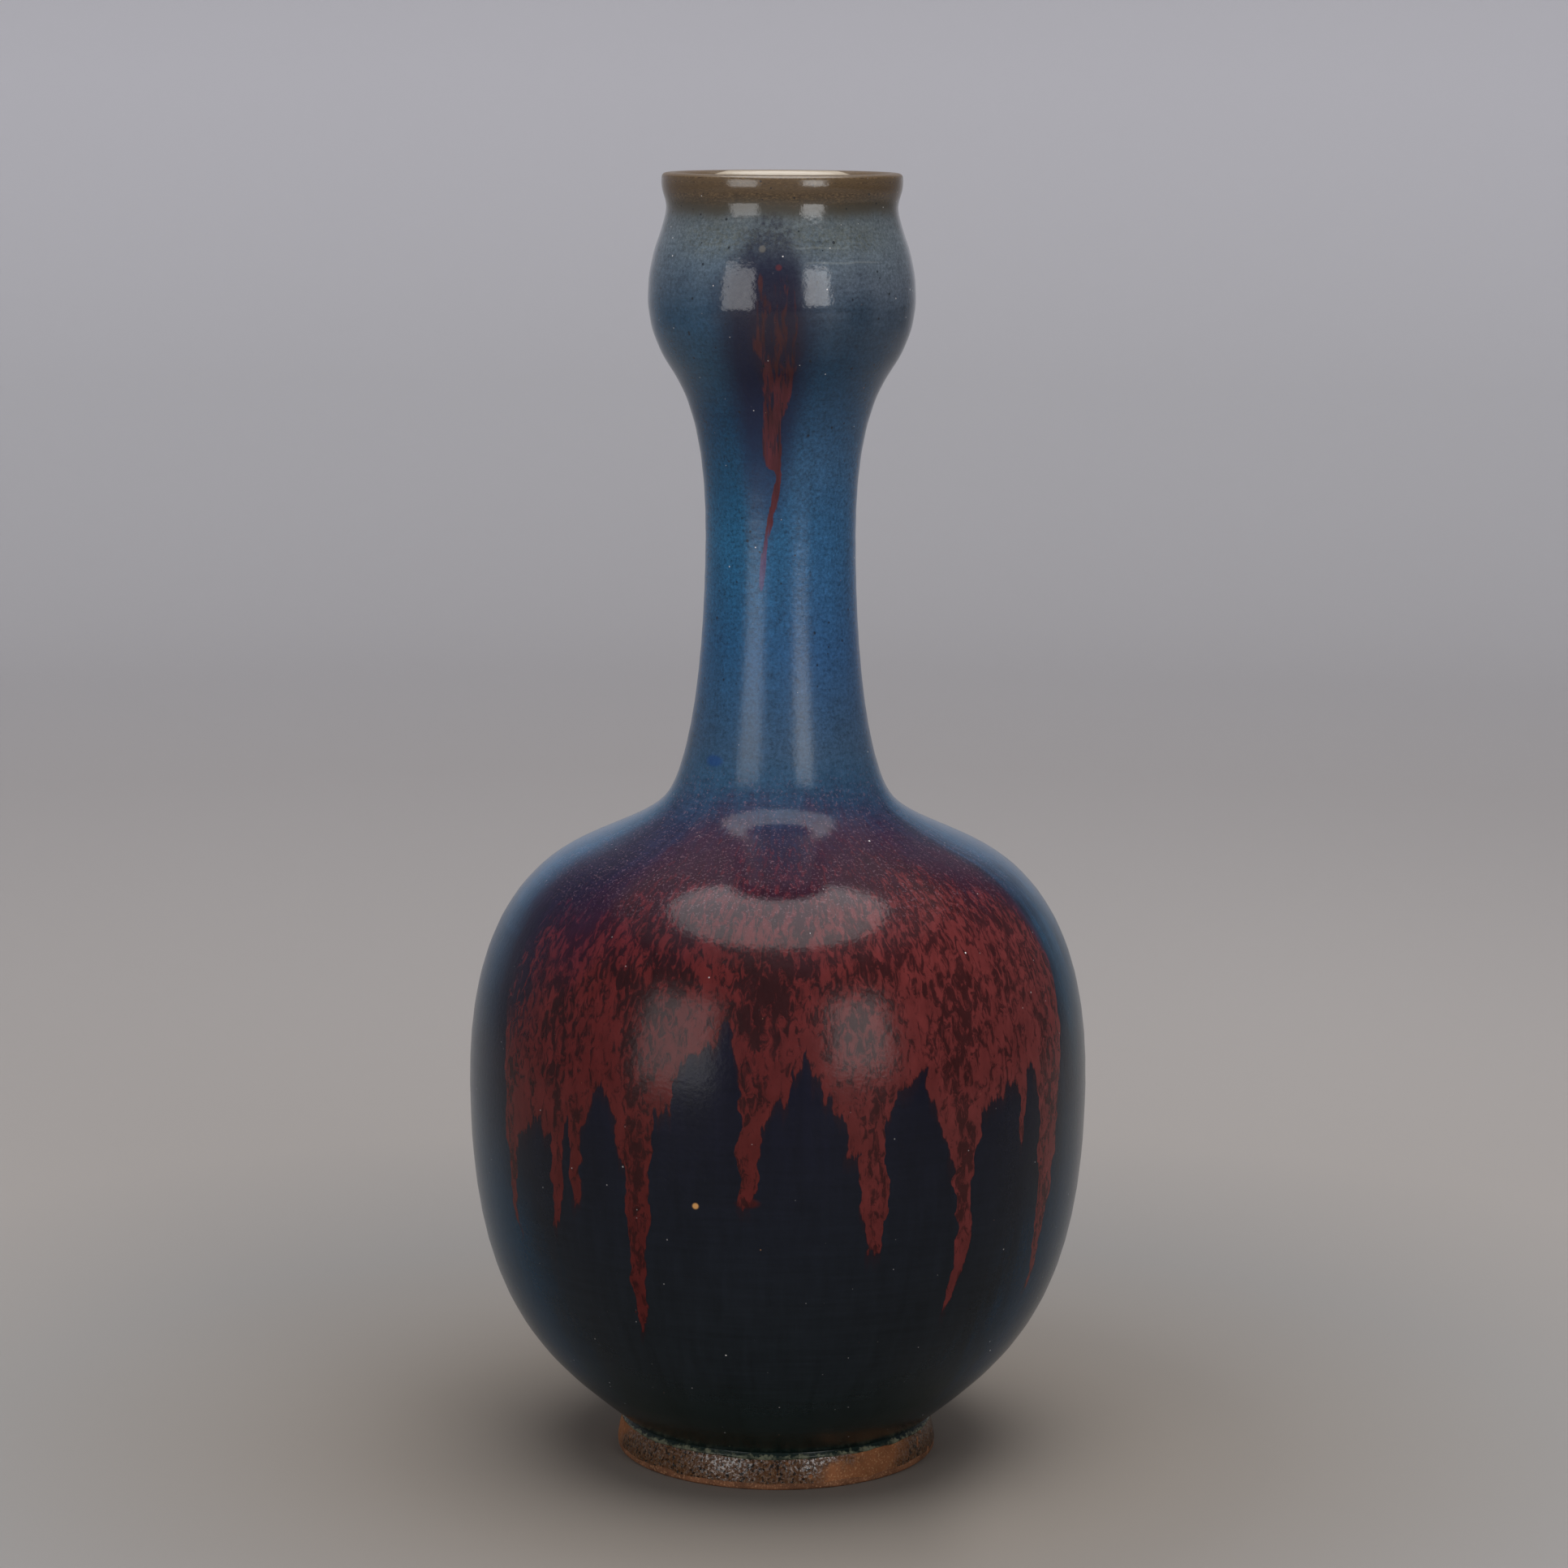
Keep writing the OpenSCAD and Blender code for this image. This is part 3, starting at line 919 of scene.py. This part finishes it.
@dataclass(frozen=True)
class RunGlaze:
    """The whole outer glaze: the blue ground, the two splashes, the lip, its specks with painted glints,
    and its gloss.
    """

    ground: BlueGround = BlueGround()
    belly: BellySplash = BellySplash()
    head: HeadSplash = HeadSplash()
    line: Tint = (110, 112, 92)
    painted_glint: Tint = (226, 222, 220)
    pinhole: Tint = (22, 24, 30)
    painted_orange_glint: Tint = (150, 112, 80)
    blemish: Tint = (190, 140, 84)
    blue: Tint = (18, 58, 112)
    scuff: Tint = (134, 138, 134)
    roughness: Points = (
        (0, 0.2), (128, 0.2), (142, 0.15), (164, 0.15), (180, 0.24), (225, 0.24), (255, 0.16),
        (290, 0.12), (309.5, 0.14), (311.6, 0.3), (313, 0.5),
    )
    gloss: Points = (
        (0, 0.13), (60, 0.15), (150, 0.17), (158, 0.14), (168, 0.19), (180, 0.30), (230, 0.32),
        (258, 0.35), (275, 0.43), (305, 0.5), (313, 0.7),
    )

    def material(self) -> bpy.types.Material:
        """Mixes the glaze.

        Returns:
            The material.
        """
        paint = Paint("run_glaze")
        at = SkinPlace(paint)
        colour = self.belly.over(at, self.ground.colour(at))
        colour = self.ground.rim(at, self.head.over(at, colour))
        colour = self.specks(at, colour)
        peel = paint.grain(at.place, 1.1, 2)
        pits = paint.dots(at.place, 2.2, 0.22, 0.4)
        paint.bump(peel - pits, 0.035)
        worn = (paint.grain(at.place, 0.9, 3, 0.7) - 0.5) * 0.6 + 1
        gloss = paint.curve(at.z, self.gloss) * worn
        return paint.finish(colour, paint.curve(at.z, self.roughness), gloss)

    def specks(self, at: SkinPlace, colour: Wire) -> Wire:
        """Adds pinholes, painted glints, two spots, scuffs on the bulb and the pale line at the foot.

        Args:
            at: place on the skin.
            colour: the colour so far.

        Returns:
            The colour with the specks.
        """
        paint = at.paint
        upper = paint.smooth(at.z, 170, 200)
        colour = paint.mix(paint.dots(at.place, 2.7, 0.52, 0.5) * upper * 0.8, colour, self.pinhole)
        # Painted glints: pale dots standing in for highlights off pits in the glaze, first large, then
        # faint.
        colour = paint.mix(paint.dots(at.place, 7, 0.34, 0.42) * 0.9, colour, self.painted_glint)
        faint_painted_glints = paint.dots(at.place, 3.3, 0.27, 0.4) * (upper * 0.4 + 0.35)
        colour = paint.mix(faint_painted_glints, colour, self.painted_glint)
        # Painted glints: orange dots standing in for sparkles of light in the glaze.
        colour = paint.mix(paint.dots(at.place, 4.6, 0.24, 0.25) * 0.7, colour, self.painted_orange_glint)
        colour = paint.mix(at.spot(-14.5, 79, 0.6, 0.75), colour, self.blemish)
        colour = paint.mix(at.spot(-42, 173.5, 8, 1.6) * 0.6, colour, self.blue)
        scuff = at.mark(3, 33, 295.4) + at.mark(8, 50, 292)
        colour = paint.mix(scuff * 0.2, colour, self.scuff)
        foot = at.z + (paint.grain(at.place, 1.6, 4, 0.7) - 0.5) * 4
        # Painted glints: dots in the pale line's tint on the glaze just above the foot.
        low_painted_glints = paint.dots(at.place, 2.4, 0.36, 0.6) * at.band(9, 19, 4)
        colour = paint.mix(low_painted_glints * 0.8, colour, self.line)
        worn = paint.smooth(paint.grain(at.place, 2.2, 3, 0.7), 0.36, 0.6)
        return paint.mix(paint.smooth(foot, 8.5, 8) * (worn * 0.75 + 0.1), colour, self.line)


@dataclass
class GlazeSkin:
    """The outer glaze from its line on the foot to the inside of the lip.

    crease is the height of the bend over the hem, and the wobble grows through the calm stretch above
    it. groove has the heights where the slant of the groove under the lip begins, is full, is full
    still and ends.
    """

    steps: int = 256
    crisp: float = 60
    thickness: float = 0.45
    crease: float = 8.95
    calm: float = 10
    wobble: float = 0.10
    wobble_size: float = 45
    ring: float = 0.03
    ring_pitch: float = 6.5
    ring_drift: float = 40
    pull: float = 0.55
    pull_size: float = 9
    tooth_size: float = 2.5
    slant: float = 1.4
    groove: tuple[float, ...] = (296, 303, 304.3, 309.3)
    stations: tuple[Station, ...] = (
        Station(37.85, 7.30, 70, step=0.3),
        Station(38.35, 7.80, 95, step=0.3),
        Station(37.75, crease, 100),
        Station(37.75, crease, 40, 0.35, 0.27),
        Station(75.20, 92.50, 90, 0.61, 0.41),
        Station(49.87, 149.95, 153.5, 0.34, 0.45),
        Station(25.85, 165.01, 115, 0.27, 0.24),
        Station(18.00, 225.80, 90, 0.30, 0.37, 1.8),
        Station(25.91, 265.02, 56, 0.28, 0.35, 1.3),
        Station(31.90, 283.10, 90, 0.37, 0.50, 1.3),
        Station(27.60, 303.90, 90, 0.22, 0.35, 0.6),
        Station(28.72, 310.05, 90, 0.40, 0.35, 0.3),
        Station(28.60, 311.15, 103, 0.35, 0.31, 0.3),
        Station(26.45, 312.05, 180, 0.52, 0.374, 0.4),
        Station(24.20, 309.90, 270, 0.407, 0.35, 0.5),
        Station(23.90, 307.70, 270, 0.35),
    )

    def build(self) -> bpy.types.Object:
        """Turns the skin and thickens it.

        Returns:
            The skin.
        """
        skin = draw("glaze_skin", self.stations)
        turn(skin, self.steps, Facing.OUTWARD)
        self.measure(skin)
        self.unsteady(skin)
        thicken(skin, self.thickness)
        smooth_shade(skin, self.crisp)
        return skin

    def measure(self, skin: bpy.types.Object) -> None:
        """Keeps at each point roughly how far up the outline it lies from the foot, in mm.

        Args:
            skin: the turned skin, not yet thickened.
        """
        rows = points_of(skin)
        radius = np.hypot(rows[:, 0], rows[:, 1])
        order = np.argsort(rows[:, 2])
        heights, first = np.unique(np.round(rows[order, 2], 3), return_index=True)
        radii = radius[order][first]
        along = np.concatenate(([0], np.cumsum(np.hypot(np.diff(heights), np.diff(radii)))))
        select_only(skin)
        bpy.ops.geometry.attribute_add(name=ALONG, domain="POINT", data_type="FLOAT")
        values = np.interp(rows[:, 2], heights, along)
        skin.data.attributes[ALONG].data.foreach_set("value", values)

    def unsteady(self, skin: bpy.types.Object) -> None:
        """Leaves the hand's marks: a slanted groove under the lip, a wobble, rings and an uneven hem.

        Args:
            skin: the turned skin, not yet thickened.
        """
        rows = points_of(skin)
        begin, full, still, end = self.groove
        groove = rise(rows[:, 2], begin, full) * rise(rows[:, 2], end, still)
        rows[:, 2] += groove * self.slant * np.cos(np.radians(azimuth_of(rows)))
        radius = np.hypot(rows[:, 0], rows[:, 1])
        rings = np.sin(rows[:, 2] * math.tau / self.ring_pitch + lumps(rows, self.ring_drift) * 2)
        offset = lumps(rows, self.wobble_size) * self.wobble + rings * self.ring
        offset *= rise(rows[:, 2], self.crease, self.crease + self.calm)
        rows[:, :2] *= (1 + offset / radius)[:, None]
        hem = rise(rows[:, 2], self.crease, self.stations[0].height)
        level = rows * np.array((1, 1, 0))
        uneven = lumps(level, self.pull_size) + lumps(level, self.tooth_size) * 0.5
        rows[:, 2] -= hem * self.pull * uneven
        put_points(skin, rows)

    def dress(self, skin: bpy.types.Object) -> None:
        """Glazes the skin and hands it in."""
        skin.data.materials.append(RunGlaze().material())
        hand_in(skin, Slot.BLUE_GLAZE, "outer_glaze", "belly_splash", "head_splash")


@dataclass(frozen=True)
class Biscuit:
    """Fired clay: a base tint with darker and lighter grit."""

    name: str
    base: Tint
    dark: Tint
    light: Tint

    def material(self) -> bpy.types.Material:
        """Mixes the clay.

        Returns:
            The material.
        """
        paint = Paint(self.name)
        place = paint.place()[0]
        tone = paint.smooth(paint.grain(place, 6, 4, 0.6), 0.35, 0.65)
        grit = paint.smooth(paint.grain(place, 0.5, 2, 0.6), 0.56, 0.66)
        colour = paint.mix(tone, self.dark, self.base)
        colour = paint.mix(grit, colour, self.light)
        paint.bump(paint.grain(place, 0.4, 3, 0.6), 0.25)
        return paint.finish(colour, 0.85, 0.2)


@dataclass(frozen=True)
class Cream:
    """The cream liner glaze."""

    tint: Tint = (196, 184, 166)
    stain: Tint = (182, 166, 144)

    def material(self) -> bpy.types.Material:
        """Mixes the liner.

        Returns:
            The material.
        """
        paint = Paint("cream_liner")
        place = paint.place()[0]
        tone = paint.smooth(paint.grain(place, 5, 3), 0.4, 0.65)
        colour = paint.mix(tone, self.tint, self.stain)
        paint.bump(paint.grain(place, 1.2, 2), 0.05)
        return paint.finish(colour, 0.3)


@dataclass
class Liner:
    """The cream glaze on the inside, from the floor to the lip."""

    steps: int = 128
    crisp: float = 50
    thickness: float = 0.35
    stations: tuple[Station, ...] = (
        Station(0.00, 16.40, 0, step=4),
        Station(31.00, 16.40, 0, step=1),
        Station(35.50, 18.30, 48, 0.35, 0.30, 3),
        Station(69.30, 92.50, 90, 0.60, 0.41, 3),
        Station(47.24, 144.67, 153.5, 0.34, 0.45),
        Station(20.05, 162.31, 115, 0.27, 0.24),
        Station(12.90, 225.80, 90, 0.30, 0.37),
        Station(21.85, 267.76, 56, 0.28, 0.35, 1.5),
        Station(27.00, 283.10, 90, 0.37, 0.50, 1.5),
        Station(22.90, 303.90, 90, 0.22, 0.35, 1),
        Station(24.05, 309.10, 88, 0.36),
    )

    def build(self) -> bpy.types.Object:
        """Turns the liner and thickens it into the wall.

        Returns:
            The liner.
        """
        liner = draw("cream_liner", self.stations)
        turn(liner, self.steps, Facing.INWARD)
        thicken(liner, self.thickness)
        smooth_shade(liner, self.crisp)
        return liner

    def dress(self, liner: bpy.types.Object) -> None:
        """Glazes the liner and hands it in."""
        liner.data.materials.append(Cream().material())
        hand_in(liner, Slot.CREAM_LINER, "inner_glaze")


@dataclass
class Foot:
    """The foot ring, chipped along its lower edge.

    The chips lie within chip_reach of chip_height, outside chip_radius.
    """

    clay: Biscuit = Biscuit("foot_clay", (128, 86, 60), (96, 64, 45), (158, 116, 84))
    steps: int = 256
    crisp: float = 50
    chip: float = 0.16
    chip_size: float = 1.7
    chip_height: float = 0.6
    chip_reach: float = 1.2
    chip_radius: float = 35
    stations: tuple[Station, ...] = (
        Station(31.00, 8.60, -82, step=0.6),
        Station(32.00, 0.80, -82, step=0.3),
        Station(32.80, 0.00, 0, step=0.8),
        Station(38.40, 0.00, 0, step=0.3),
        Station(39.20, 0.80, 95, step=0.4),
        Station(37.40, 8.60, 112, step=1),
        Station(37.40, 8.60, 180, step=1),
        Station(31.00, 8.60, 180),
    )

    def build(self) -> bpy.types.Object:
        """Turns the ring and chips its edge.

        Returns:
            The ring.
        """
        ring = draw("foot_ring_clay", self.stations)
        turn(ring, self.steps, Facing.OUTWARD)
        rows = points_of(ring)
        radius = np.hypot(rows[:, 0], rows[:, 1])
        away = np.abs(rows[:, 2] - self.chip_height)
        edge = rise(away, self.chip_reach, 0) * (radius > self.chip_radius)
        chips = edge * self.chip * np.abs(lumps(rows, self.chip_size))
        rows[:, :2] *= (1 - chips / radius)[:, None]
        put_points(ring, rows)
        smooth_shade(ring, self.crisp)
        return ring

    def dress(self, ring: bpy.types.Object) -> None:
        """Finishes the ring and hands it in."""
        ring.data.materials.append(self.clay.material())
        hand_in(ring, Slot.FOOT_CLAY, "foot_ring")


@dataclass(frozen=True)
class IronWash:
    """The brown wash: dark and glossy in front with painted sparkle, so thin at the sides that the clay
    shows.
    """

    thick: Tint = (80, 53, 33)
    thin: Tint = (130, 84, 55)
    painted_sparkle: Tint = (104, 79, 58)
    pit: Tint = (30, 23, 17)
    grit: Tint = (160, 118, 84)

    def material(self) -> bpy.types.Material:
        """Mixes the wash.

        Returns:
            The material.
        """
        paint = Paint("iron_wash")
        place, x, y, z = paint.place()
        cloud = paint.grain(place, 7, 4, 0.6) - 0.5
        turned = paint.azimuth(x, y) + cloud * 40 - (z - 5) * 2
        right = paint.smooth(turned, 15, 31) * paint.smooth(turned, 60, 44)
        left = paint.smooth(turned, -66, -78) * paint.smooth(turned, -125, -105)
        worn = paint.smooth(paint.grain(place, 4, 2), 0.66, 0.72)
        bare = paint.math("MAXIMUM", paint.math("MAXIMUM", right, left), worn)
        # Painted sparkle: lighter flecks in the dark wash standing in for glints of light.
        painted_sparkle_share = paint.smooth(paint.grain(place, 0.7, 2, 0.7), 0.52, 0.62)
        pits = paint.smooth(paint.grain(place, 0.9, 2, 0.7), 0.48, 0.38)
        dark = paint.mix(pits, paint.mix(painted_sparkle_share, self.thick, self.painted_sparkle), self.pit)
        grit = paint.smooth(paint.grain(place, 0.5, 2, 0.6), 0.55, 0.66)
        light = paint.shade(paint.mix(grit, self.thin, self.grit), cloud * 1.6 + 1)
        paint.bump(paint.grain(place, 0.8, 3, 0.6), 0.12)
        glossy = paint.smooth(paint.grain(place, 0.65, 2, 0.7), 0.46, 0.62) * (1 - bare)
        return paint.finish(paint.mix(bare, dark, light), bare * 0.5 + 0.24, glossy * 0.9 + 0.08)


@dataclass
class Wash:
    """The iron wash on the side of the foot ring.

    Its lower edge wavers, fully below waver_full and not at all above waver_top.
    """

    steps: int = 256
    crisp: float = 60
    thickness: float = 0.12
    waver: float = 0.5
    waver_full: float = 1.7
    waver_top: float = 3.2
    waver_size: float = 6
    tooth_size: float = 2
    stations: tuple[Station, ...] = (
        Station(39.22, 1.79, 96.5, step=0.4),
        Station(37.52, 8.62, 112),
    )

    def build(self) -> bpy.types.Object:
        """Turns the wash, unsettles its lower edge and thickens it.

        Returns:
            The wash.
        """
        wash = draw("iron_wash_coat", self.stations)
        turn(wash, self.steps, Facing.OUTWARD)
        rows = points_of(wash)
        low = rise(rows[:, 2], self.waver_top, self.waver_full)
        level = rows * np.array((1, 1, 0))
        uneven = lumps(level, self.waver_size) + lumps(level, self.tooth_size) * 0.6
        rows[:, 2] += low * self.waver * uneven
        put_points(wash, rows)
        thicken(wash, self.thickness)
        smooth_shade(wash, self.crisp)
        return wash

    def dress(self, wash: bpy.types.Object) -> None:
        """Finishes the wash and hands it in."""
        wash.data.materials.append(IronWash().material())
        hand_in(wash, Slot.IRON_WASH, "foot_wash")


class LampShape(Enum):
    """The shape of a softbox's face."""

    PANEL = "RECTANGLE"
    DISC = "DISK"


@dataclass(frozen=True)
class Softbox:
    """A softbox, in degrees and metres. A tilt of 0 stands it upright and 90 hangs it face down."""

    name: str
    azimuth: float
    reach: float
    centre: float
    tilt: float
    width: float
    height: float
    radiance: float
    shape: LampShape = LampShape.PANEL

    def build(self) -> None:
        """Hangs the light."""
        turned = math.radians(self.azimuth)
        spot = (math.sin(turned) * self.reach, -math.cos(turned) * self.reach, self.centre)
        bpy.ops.object.light_add(type="AREA", location=spot)
        lamp = bpy.context.object
        lamp.name = self.name
        lamp.rotation_euler = (math.radians(90 - self.tilt), 0, turned)
        lamp.data.shape = self.shape.value
        lamp.data.size = self.width
        area = math.pi / 4 * self.width ** 2
        if self.shape is LampShape.PANEL:
            lamp.data.size_y = self.height
            area = self.width * self.height
        lamp.data.energy = self.radiance * area * math.pi
        lamp.visible_camera = False


@dataclass(frozen=True)
class Studio:
    """The floor that sweeps up into a wall all round, the softboxes and the camera.

    The sweep is in mm, with the paper's colours by the distance from the vase; the darker, warmer floor
    near the vase is painted shade, and the paper also carries painted light on the right of the floor
    and beside the foot and painted shade on the walls at the sides. eye is the camera's place in
    metres, and its angles are in degrees.
    """

    radius: float = 2300
    cove: float = 900
    wall: float = 2600
    steps: int = 96
    crisp: float = 60
    # The floor darkens and warms towards the vase: painted shade.
    paper: Stops = (
        (0, (126, 117, 108)), (90, (125, 118, 111)), (200, (133, 130, 128)), (330, (148, 143, 140)),
        (1060, (172, 168, 168)), (1866, (205, 204, 208)), (2096, (223, 222, 228)),
        (2400, (223, 222, 228)),
    )
    world: float = 0.54
    eye: tuple[float, float, float] = (0, -1.0416, 0.3361)
    pitch: float = 9.316
    roll: float = 0.299
    yaw: float = 0.062
    lens: float = 100
    sensor: float = 36
    boxes: tuple[Softbox, ...] = (
        Softbox("left_softbox", -37.5, 1.30, 0.435, 0, 0.64, 0.73, 3.1),
        Softbox("right_softbox", 30.5, 1.30, 0.480, 0, 0.49, 0.65, 4.4),
        Softbox("overhead_softbox", 0, 0.14, 1.35, 90, 1.34, 1.34, 4.35, LampShape.DISC),
    )

    def build(self) -> None:
        """Sets the stage, the lights, the view and the camera."""
        self.sweep()
        for box in self.boxes:
            box.build()
        world = bpy.data.worlds.new("studio")
        world.use_nodes = True
        world.node_tree.nodes["Background"].inputs["Strength"].default_value = self.world
        world.node_tree.nodes["Background"].inputs["Color"].default_value = (1, 1, 1, 1)
        bpy.context.scene.world = world
        bpy.context.scene.view_settings.view_transform = "Standard"
        self.camera()

    def sweep(self) -> None:
        """Turns the floor and its wall."""
        sweep = draw("studio_sweep", (
            Station(0, 0, 0, step=400),
            Station(self.radius - self.cove, 0, 0, QUARTER, QUARTER, step=60),
            Station(self.radius, self.cove, 90, QUARTER, QUARTER, step=400),
            Station(self.radius, self.wall, 90),
        ))
        turn(sweep, self.steps, Facing.INWARD)
        smooth_shade(sweep, self.crisp)
        paint = Paint("studio_paper_and_painted_light")
        x, y = paint.place()[1:3]
        away = paint.length(x, y)
        # Painted light on the right of the floor and beside the foot, and painted shade on the walls at
        # the sides.
        painted_right_light = paint.smooth(x, 0, 220) * paint.smooth(away, 1000, 400) * 0.06
        sides = paint.smooth(x, 650, 1500) * 0.5 + paint.smooth(x, -650, -1500) * 0.28
        painted_light_by_foot = paint.smooth(x, 30, 55) * paint.smooth(away, 125, 60) * 0.28
        tone = 1 + painted_right_light + painted_light_by_foot - sides
        colour = paint.shade(paint.ramp(away, self.paper), tone)
        sweep.data.materials.append(paint.finish(colour, 0.9, 0.2))

    def camera(self) -> None:
        """Puts the camera where the photograph was taken from."""
        bpy.ops.object.camera_add(location=self.eye)
        camera = bpy.context.object
        camera.data.lens = self.lens
        camera.data.sensor_width = self.sensor
        turned = Matrix.Rotation(math.radians(-self.yaw), 3, "Z")
        raised = Matrix.Rotation(math.radians(90 - self.pitch), 3, "X")
        rolled = Matrix.Rotation(math.radians(self.roll), 3, "Z")
        camera.rotation_euler = (turned @ raised @ rolled).to_euler()
        bpy.context.scene.camera = camera


@dataclass(frozen=True)
class HiddenClay:
    """The thrown sections and the slip that lutes them, which the glazes cover."""

    sections: tuple[str, ...] = ("lower_body", "upper_body", "neck", "garlic_head")
    slips: tuple[str, ...] = ("foot_slip", "belly_slip", "neck_slip", "head_slip")
    clay: Biscuit = Biscuit("body_clay", (128, 98, 76), (104, 76, 57), (150, 122, 98))
    slip: Biscuit = Biscuit("luting_slip", (138, 110, 88), (118, 90, 70), (156, 130, 106))

    def dress(self) -> None:
        """Gives the CAD nodes their clay."""
        for finish, names in ((self.clay, self.sections), (self.slip, self.slips)):
            material = finish.material()
            for name in names:
                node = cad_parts[name]
                for slot in node.material_slots:
                    slot.material = material
                log.info("%s keeps its solid, in %s", name, finish.name)


def main() -> None:
    """Builds and dresses the vase piece by piece."""
    logging.basicConfig(level=logging.INFO, format="%(name)s: %(message)s")
    Studio().build()
    for part in (GlazeSkin(), Liner(), Foot(), Wash()):
        part.dress(part.build())
    HiddenClay().dress()


if __name__ == "__main__":
    main()
